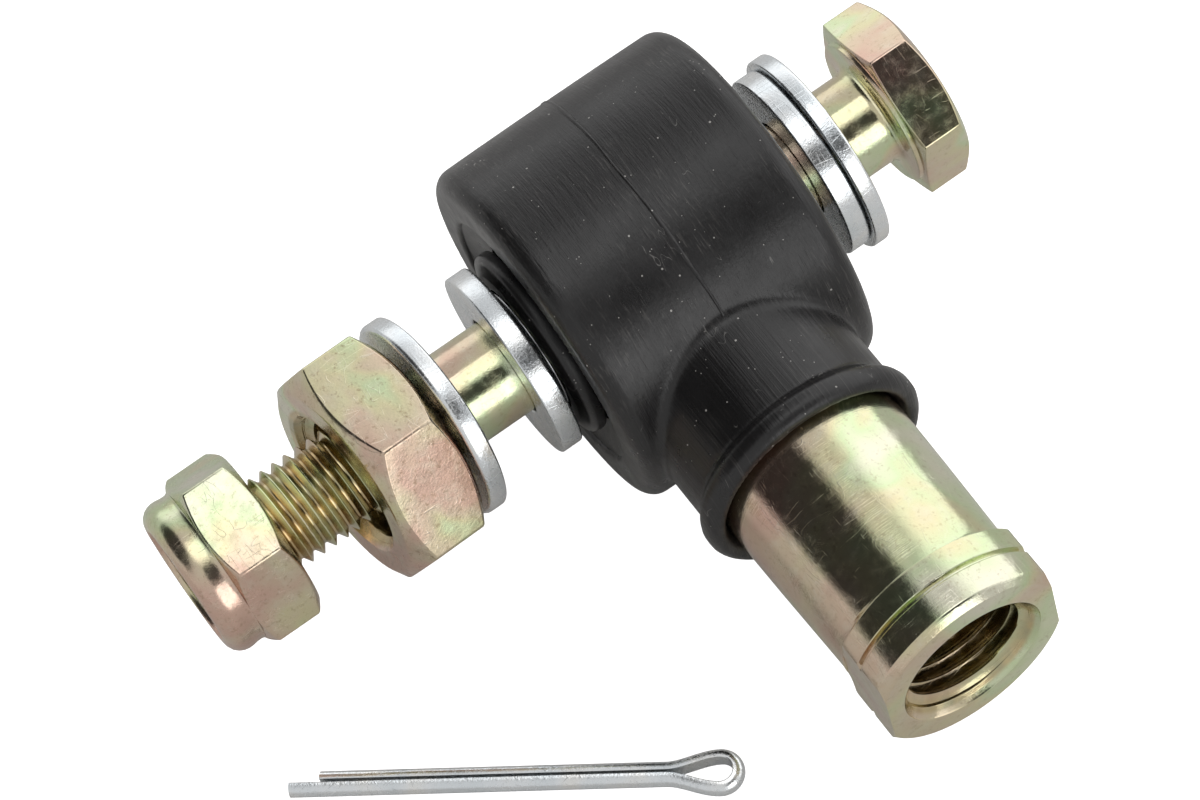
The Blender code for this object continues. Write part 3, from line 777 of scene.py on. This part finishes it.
line = mesh("boot_mould_line", *mould_line(), drum_rubber, "housing", "boot_rubber", sharp=60, weighted=False)

# Seal: a bead on the sleeve at each side, and a thin wall from it to the boot, made as an outer and an inner half.
seal_rubber = rubber("seal_rubber", streaks=False)


def wall(name, side, r0, x0, r1, x1):
    t = 0.10
    prof = [(r0, x0), ((r0 + r1) / 2, (x0 + x1) / 2), (r1, x1), (r1, x1 + side * -t), ((r0 + r1) / 2, (x0 + x1) / 2 - side * t), (r0, x0 - side * t)]
    vv, ff = revolve(prof, 'X', 128)
    ob = mesh(name, vv, ff, seal_rubber, None, "boot_rubber", weighted=False, sharp=50, parent_body=False)
    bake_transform(ob)
    return ob


for side, label, edge_x in ((-1, "left", -12.6), (1, "right", 13.2)):
    mid_x, in_x = edge_x - side * 0.55, edge_x - side * 1.1
    w1 = wall(f"seal_wall_{label}_outer", side, 13.75, edge_x, 11.9, mid_x)
    w2 = wall(f"seal_wall_{label}_inner", side, 11.9, mid_x, 9.9, in_x)
    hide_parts(f"seal_wall_{label}")
lips = {"left": [(6.8, -12.0, 0.2), (6.8, -14.1, 0.25), (8.4, -14.1, 0.5), (9.0, -13.9, 0.6), (10.15, -13.6, 0.7), (10.2, -12.2, 0.6), (9.6, -11.9, 0.2)],
        "right": [(6.8, 13.1, 0.2), (6.8, 14.4, 0.25), (9.4, 14.4, 0.5), (10.2, 14.1, 0.4), (10.2, 12.9, 0.4), (9.6, 12.6, 0.2)]}
for label, prof in lips.items():
    pr = [(r, x, rad) for r, x, rad in prof]
    if label == "right":
        pr = [(6.8, 13.1, 0.2), (6.8, 14.75, 0.25), (9.4, 14.8, 0.5), (10.2, 14.5, 0.4), (10.2, 13.1, 0.3)]
    mesh(f"seal_bead_{label}", *revolve(fillet(pr, True, 4), 'X', 128), seal_rubber, "stud", "boot_rubber", (f"seal_lip_{label}",), sharp=40)

# ================================================================================================
# Bearing, mostly hidden: CAD solids with finishes of their own, and a detailed sleeve
# ================================================================================================
steel = plain_steel("bearing_steel_ground")
for node in ("bearing_race", "ball"):
    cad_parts[node].data.materials.clear()
    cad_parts[node].data.materials.append(steel)
for node, tint, metal, rough in (("retaining_ring", (0.30, 0.30, 0.31), 1.0, 0.3), ("bearing_liner", (0.70, 0.68, 0.60), 0.0, 0.4)):
    m = plain_steel(node + "_finish", tint, rough, metal, metal > 0)
    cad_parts[node].data.materials.clear()
    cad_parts[node].data.materials.append(m)
sleeve_prof = fillet([(6.5, 14.4, 0.35), (6.5, -14.4, 0.35), (5.3, -14.4, 0.3), (5.3, 14.4, 0.3)], True, 4)
mesh("sleeve_tube", *revolve(sleeve_prof, 'X', 96), steel, "stud", "bearing_steel", ("inner_sleeve",))

# ================================================================================================
# Bolt: chamfered head with its washer face, shank, rolled thread
# ================================================================================================
THREAD_START = -27.6
bolt_mat = yellow_zinc("bolt_yellow_zinc", loc=(0.01, 0.033, 0.02), spread=110.0, scratch=0.25, rough=0.15, shift=-0.01,
                       brass=('X', (4.15, 5.05), (-53.2, -27.4)))


def bolt_mesh():
    # the head: hexagon from 26.9 to 32.2, washer face below it, top face slightly dished in the middle
    top = BOLT_SEAT_X + HEAD_H
    low = BOLT_SEAT_X + 0.45
    dish = [(7.2, top - 0.02), (6.0, top - 0.10), (3.0, top - 0.16), (0.0, top - 0.17)]
    outline = hex_outline(17.0, 0.35, 34.9)
    t = math.tan(math.radians(27.0))
    face_hi, face_lo, e = 8.15, 8.25, 0.13
    cols = []
    for y, z in outline:
        R, a = math.hypot(y, z), math.atan2(z, y)
        hi = lambda rho: top - max(0.0, rho - face_hi) * t
        lo = lambda rho: low + max(0.0, rho - face_lo) * t * 0.35
        col = [(r, x) for r, x in dish[::-1]]
        col += [(face_hi - 0.25, top), (face_hi, top - 0.03), (face_hi + e, hi(face_hi + e)), ((face_hi + R) / 2, hi((face_hi + R) / 2)),
                (R - e, hi(R - e)), (R - 0.3 * e, hi(R) - 0.35 * e), (R, hi(R) - e)]
        a1, a2 = hi(R) - e, lo(R) + e
        col += [(R, a1 + (a2 - a1) * q) for q in (0.25, 0.5, 0.75)]
        col += [(R, a2), (R - 0.3 * e, lo(R) + 0.35 * e), (R - e, lo(R - e)), ((face_lo + R) / 2, lo((face_lo + R) / 2)), (8.05, low), (7.95, low - 0.03),
                (7.90, low - 0.12), (7.85, BOLT_SEAT_X + 0.08), (7.72, BOLT_SEAT_X), (6.4, BOLT_SEAT_X), (5.75, BOLT_SEAT_X - 0.02), (5.42, BOLT_SEAT_X - 0.12),
                (5.18, BOLT_SEAT_X - 0.32), (5.05, BOLT_SEAT_X - 0.62), (5.0, BOLT_SEAT_X - 1.0)]
        cols.append([(x, r * math.cos(a), r * math.sin(a)) for r, x in col])
    m, n = len(cols[0]), len(cols)
    verts = [p for c in cols for p in c]
    faces = []
    for j in range(n):
        k = (j + 1) % n
        for i in range(m - 1):
            faces.append((j * m + i, j * m + i + 1, k * m + i + 1, k * m + i))
    # shank, at the head's own angles so that the rings meet
    ang = [math.atan2(z, y) for y, z in outline]
    shank = [(5.0, BOLT_SEAT_X - 1.0), (5.0, 18.0), (5.0, 6.0), (5.0, -6.0), (5.0, -16.0), (5.0, -22.0), (5.0, THREAD_START + 0.3)]
    off = len(verts)
    for r, x in shank:
        verts.extend((x, r * math.cos(a), r * math.sin(a)) for a in ang)
    for k in range(len(shank) - 1):
        for j in range(n):
            j2 = (j + 1) % n
            faces.append((off + k * n + j, off + k * n + j2, off + (k + 1) * n + j2, off + (k + 1) * n + j))
    shank_cap = len(verts)
    verts.append((THREAD_START + 0.3, 0, 0))
    last = off + (len(shank) - 1) * n
    for j in range(n):
        faces.append((last + j, last + (j + 1) % n, shank_cap))
    tv, tf = thread('X', BOLT_END_X + 0.9, THREAD_START + 0.35, 1.35, 4.20, 5.0, steps=96, run=(1.2, 1.6), r_ends=(4.15, 4.97), hand=1, crest=0.10, root=0.16)
    tip = revolve([(4.15, BOLT_END_X + 0.9), (4.12, BOLT_END_X + 0.3), (3.95, BOLT_END_X + 0.08), (3.7, BOLT_END_X), (2.0, BOLT_END_X + 0.02), (0, BOLT_END_X + 0.03)], 'X', 96, closed=False)
    root = revolve([(0, THREAD_START + 0.35), (4.97, THREAD_START + 0.35)], 'X', 96, closed=False)
    return join((verts, faces), (tv, tf), tip, root)


mesh("bolt_body", *bolt_mesh(), bolt_mat, "bolt", "yellow_zinc", ("bolt",), sharp=34)

# ================================================================================================
# Washers and spacers: stamped discs, one edge rolled over and the other sharp
# ================================================================================================
def stamped(r_out, x0, x1, rolled, sharp_edge, r_in=5.3, roll_side=-1):
    a, b = (rolled, sharp_edge) if roll_side < 0 else (sharp_edge, rolled)
    mid = (x0 + x1) / 2
    pr = [(r_out, x0, a), (r_out, mid, 0), (r_out, x1, b), (8.5, x1, 0), (r_in, x1, 0.2), (r_in, mid, 0), (r_in, x0, 0.2), (8.5, x0, 0)]
    return revolve(fillet(pr, True, 5), 'X', 160)


mesh("spacer_left_disc", *stamped(10.0, -17.1, -14.85, 0.18, 0.28, roll_side=-1), clear_zinc("spacer_left_zinc", (0.1, 0.2, 0.3)), "spacer_left", "clear_zinc", ("spacer_left",))
mesh("spacer_right_disc", *stamped(10.0, 16.9, 19.05, 0.22, 0.18, roll_side=1), clear_zinc("spacer_right_zinc", (0.6, 0.1, 0.5)), "washers_right", "clear_zinc", ("spacer_right",))
mesh("washer_left_disc", *stamped(10.75, -26.5, -24.5, 0.55, 0.25, roll_side=-1), clear_zinc("washer_left_zinc", (0.3, 0.7, 0.2)), "washer_left", "clear_zinc", ("washer_left",),
     move=lean(-25.5, 7.0, (0.0, 0.884, 0.468)))
mesh("washer_right_disc", *stamped(10.75, 19.2, 20.95, 0.35, 0.20, roll_side=1), clear_zinc("washer_right_zinc", (0.8, 0.4, 0.7)), "washers_right", "clear_zinc", ("washer_right",))

# ================================================================================================
# Jam nut, with its M14 thread
# ================================================================================================
jam_mat = yellow_zinc("jam_nut_yellow_zinc", loc=(0.062, 0.07, 0.03), spread=120.0, scratch=0.7, rough=0.2, shift=0.025,
                      brass=('X', (7.25, 6.0), (-40.0, -24.0)), drift=((-0.25, 0.75, 0.55), 15.0, 0.016), mottle=0.55)
j0, j1 = JAMNUT_X
jam_inner = [(7.85, j1), (7.76, j1 - 0.06), (7.2, j1 - 0.78), (7.2, j1 - 0.9), (7.6, j1 - 1.2), (7.6, j0 + 1.2), (7.2, j0 + 0.9), (7.2, j0 + 0.78), (7.76, j0 + 0.06), (7.85, j0)]
jam_hex = hex_solid(22.1, j0, j1, -2.0, 10.2, 10.4, jam_inner, corner_radius=0.5, slope=33.0, edge=0.16)
jam_thread = thread('X', j0 + 0.6, j1 - 0.6, 1.5, 7.25, 6.35, steps=96, run=(0.7, 0.7), r_ends=(7.25, 7.25), crest=0.18, root=0.14)
ring_lo = revolve([(7.25, j0 + 0.6), (7.7, j0 + 0.6)], 'X', 96, closed=False)
jam_shell = revolve([(7.25, j0 + 0.6), (7.7, j0 + 0.6), (7.7, j1 - 0.6), (7.25, j1 - 0.6)], 'X', 96, closed=False)
mesh("jam_nut_body", *join(jam_hex, jam_thread, jam_shell), jam_mat, "jam_nut", "yellow_zinc", ("jam_nut",), sharp=34,
     move=lean((j0 + j1) / 2, 9.5, (0.0, 8.0, 5.2), (0.0, -0.2, -0.6)))

# ================================================================================================
# Lock nut with its crimped collar, and the nylon ring it holds
# ================================================================================================
lock_mat = yellow_zinc("locknut_yellow_zinc", loc=(0.09, 0.045, 0.08), spread=110.0, scratch=0.6, rough=0.2, drift=((0.0, 0.35, 0.9), 6.5, 0.028), mottle=0.4)
n0, n1 = LOCKNUT_X
tail = [(8.38, LOCK_HEX_LOW + 0.02), (8.30, LOCK_HEX_LOW - 0.05), (8.22, LOCK_HEX_LOW - 0.25), (8.22, LOCK_HEX_LOW - 0.7), (8.30, LOCK_HEX_LOW - 1.3),
        (8.32, n0 + 1.75), (8.22, n0 + 1.25), (8.0, n0 + 0.78), (7.6, n0 + 0.35), (7.1, n0 + 0.08), (6.75, n0), (6.45, n0 + 0.05), (6.3, n0 + 0.2), (6.25, n0 + 0.45), (7.0, n0 + 0.5)]
lock_inner = [(6.1, n1), (5.95, n1 - 0.05), (5.2, n1 - 0.85), (5.2, LOCK_HEX_LOW + 0.72), (7.0, LOCK_HEX_LOW + 0.68)]
lock_hex = hex_solid(17.0, LOCK_HEX_LOW, n1, 11.4, 8.35, 8.1, lock_inner, corner_radius=0.4, slope=30.0, edge=0.14, low_tail=tail)
mesh("locknut_body", *lock_hex, lock_mat, "locknut", "yellow_zinc", ("locknut",), sharp=34)
nylon = plain_steel("locking_nylon", (0.08, 0.16, 0.42), 0.35, 0.0, False)
ring_prof = fillet([(6.7, n0 + 0.8, 0.15), (6.7, LOCK_HEX_LOW + 0.4, 0.15), (5.05, LOCK_HEX_LOW + 0.4, 0.3), (5.05, n0 + 0.8, 0.3)], True, 3)
mesh("locknut_nylon", *revolve(ring_prof, 'X', 96), nylon, "locknut_feed", "locking_nylon", ("locknut_ring",))

# ================================================================================================
# Cotter pin: half-round wire, folded round an eye
# ================================================================================================
PIN_A, PIN_B = np.array((-56.3, -14.9)), np.array((-20.6, -41.3))
WIRE, EYE_W, EYE_L, SHORT, SEAM = 1.1, 4.7, 7.6, 3.0, 0.08


def pin_mesh():
    length = float(np.linalg.norm(PIN_B - PIN_A))
    along = (PIN_B - PIN_A) / length
    left = np.array((-along[1], along[0]))
    er = EYE_W / 2 - WIRE
    eye_at = length - WIRE - er
    start = length - EYE_L
    route = []
    for i in range(24):
        s = start * i / 24
        route.append((s, -SEAM - 0.05 * s / start))
    for i in range(25):
        t = i / 24
        s = t * t * (3 - 2 * t)
        route.append((start + (eye_at - start) * t, -SEAM - 0.05 - (er - SEAM - 0.05) * s))
    for i in range(1, 36):
        a = math.radians(-90 + 180 * i / 36)
        route.append((eye_at + er * math.cos(a), er * math.sin(a)))
    for i in range(24, -1, -1):
        t = i / 24
        s = t * t * (3 - 2 * t)
        route.append((start + (eye_at - start) * t, SEAM + 0.05 + (er - SEAM - 0.05) * s))
    for i in range(23, -1, -1):
        s = SHORT + (start - SHORT) * i / 24
        route.append((s, SEAM + 0.05 + 0.10 * (1 - s / start)))
    route = np.array(route)
    tang = np.gradient(route, axis=0)
    tang /= np.linalg.norm(tang, axis=1)[:, None]
    # outward side of the wire: to the right of travel
    side = np.stack([tang[:, 1], -tang[:, 0]], 1)
    sect = [(0.0, -0.98), (0.10, -1.06)] + [(WIRE * math.cos(math.radians(a)), WIRE * math.sin(math.radians(a))) for a in range(-72, 73, 12)] + [(0.10, 1.06), (0.0, 0.98), (0.0, 0.5), (0.0, -0.5)]
    verts, faces = [], []
    m = len(sect)
    rows = []
    n = len(route)
    for i in range(n):
        for k, (o, h) in enumerate(sect):
            p = route[i] + side[i] * o
            w = PIN_A + along * p[0] + left * p[1]
            verts.append((w[0], w[1], FLOOR_Z + WIRE + h))
    for i in range(n - 1):
        for k in range(m):
            k2 = (k + 1) % m
            faces.append((i * m + k, i * m + k2, (i + 1) * m + k2, (i + 1) * m + k))
    faces.append(tuple(range(m)))
    faces.append(tuple((n - 1) * m + k for k in range(m)))
    return verts, faces


mesh("cotter_pin_wire", *pin_mesh(), clear_zinc("cotter_pin_zinc", (0.4, 0.9, 0.1), rough=0.24), "cotter_pin", "clear_zinc", ("cotter_pin",), sharp=40)

# ================================================================================================
# Floor and light
# ================================================================================================
fm = Tree("studio_floor")
fm.bsdf.inputs["Base Color"].default_value = (0.72, 0.71, 0.70, 1)
fm.bsdf.inputs["Roughness"].default_value = 0.9
fm.bsdf.inputs["Specular IOR Level"].default_value = 0.0
fm.bsdf.inputs["Emission Color"].default_value = (1, 1, 1, 1)
path = fm.t.nodes.new("ShaderNodeLightPath")
fm.link(fm.math('MULTIPLY', path.outputs["Is Camera Ray"], 1.0), fm.bsdf.inputs["Emission Strength"])
bm = bmesh.new()
for x, y in ((-6, -6), (6, -6), (6, 6), (-6, 6)):
    bm.verts.new((x, y, FLOOR_Z * MM - 0.00002))
bm.faces.new(bm.verts)
fme = bpy.data.meshes.new("studio_floor")
bm.to_mesh(fme)
bm.free()
floor = bpy.data.objects.new("studio_floor", fme)
scene.collection.objects.link(floor)
fme.materials.append(fm.m)

world = bpy.data.worlds.new("studio")
scene.world = world
world.use_nodes = True
wt = world.node_tree
wt.nodes.clear()
w_out = wt.nodes.new("ShaderNodeOutputWorld")
w_bg = wt.nodes.new("ShaderNodeBackground")
wt.links.new(w_bg.outputs[0], w_out.inputs[0])
w_co = wt.nodes.new("ShaderNodeTexCoord").outputs["Generated"]
w_n = wt.nodes.new("ShaderNodeVectorMath")
w_n.operation = 'NORMALIZE'
wt.links.new(w_co, w_n.inputs[0])


def polar(px, py):
    """Direction at the place (px, py) degrees from the zenith towards +X and +Y."""
    rr = math.hypot(px, py)
    z = math.cos(math.radians(rr))
    s = math.sin(math.radians(rr))
    return (s * px / rr, s * py / rr, z) if rr > 1e-6 else (0, 0, 1)


def w_patch(prev, centre, radius, soft, level):
    """Moves the sky's brightness to level inside a round patch."""
    dot = wt.nodes.new("ShaderNodeVectorMath")
    dot.operation = 'DOT_PRODUCT'
    wt.links.new(w_n.outputs[0], dot.inputs[0])
    dot.inputs[1].default_value = centre
    mr = wt.nodes.new("ShaderNodeMapRange")
    mr.interpolation_type = 'SMOOTHSTEP'
    wt.links.new(dot.outputs["Value"], mr.inputs["Value"])
    mr.inputs["From Min"].default_value = math.cos(math.radians(radius + soft))
    mr.inputs["From Max"].default_value = math.cos(math.radians(max(radius - soft, 0)))
    mr.inputs["To Min"].default_value = 0.0
    mr.inputs["To Max"].default_value = 1.0
    mx = wt.nodes.new("ShaderNodeMix")
    mx.data_type = 'FLOAT'
    wt.links.new(mr.outputs[0], mx.inputs["Factor"])
    if isinstance(prev, float):
        mx.inputs[2].default_value = prev
    else:
        wt.links.new(prev, mx.inputs[2])
    mx.inputs[3].default_value = level
    return mx.outputs[0]


sky = 0.64
sky = w_patch(sky, polar(17, 84), 24, 8, 1.15)       # far wall
sky = w_patch(sky, polar(78, 22), 50, 12, 1.42)      # bright wall on the right
sky = w_patch(sky, polar(-40, 30), 33, 5, 0.04)      # dark room behind, to the left
sky = w_patch(sky, polar(9, 1), 16, 3, 1.70)         # overhead softbox
sky = w_patch(sky, polar(11, -37), 16, 3, 0.06)      # the camera and its stand
sky = w_patch(sky, polar(12, -71), 18, 4, 2.1)       # front softbox
seen = wt.nodes.new("ShaderNodeLightPath").outputs["Is Camera Ray"]
shown = wt.nodes.new("ShaderNodeMix")
shown.data_type = 'FLOAT'
wt.links.new(seen, shown.inputs["Factor"])
wt.links.new(sky, shown.inputs[2])
shown.inputs[3].default_value = 1.0
wt.links.new(shown.outputs[0], w_bg.inputs["Strength"])
w_bg.inputs["Color"].default_value = (1.0, 1.0, 1.0, 1)
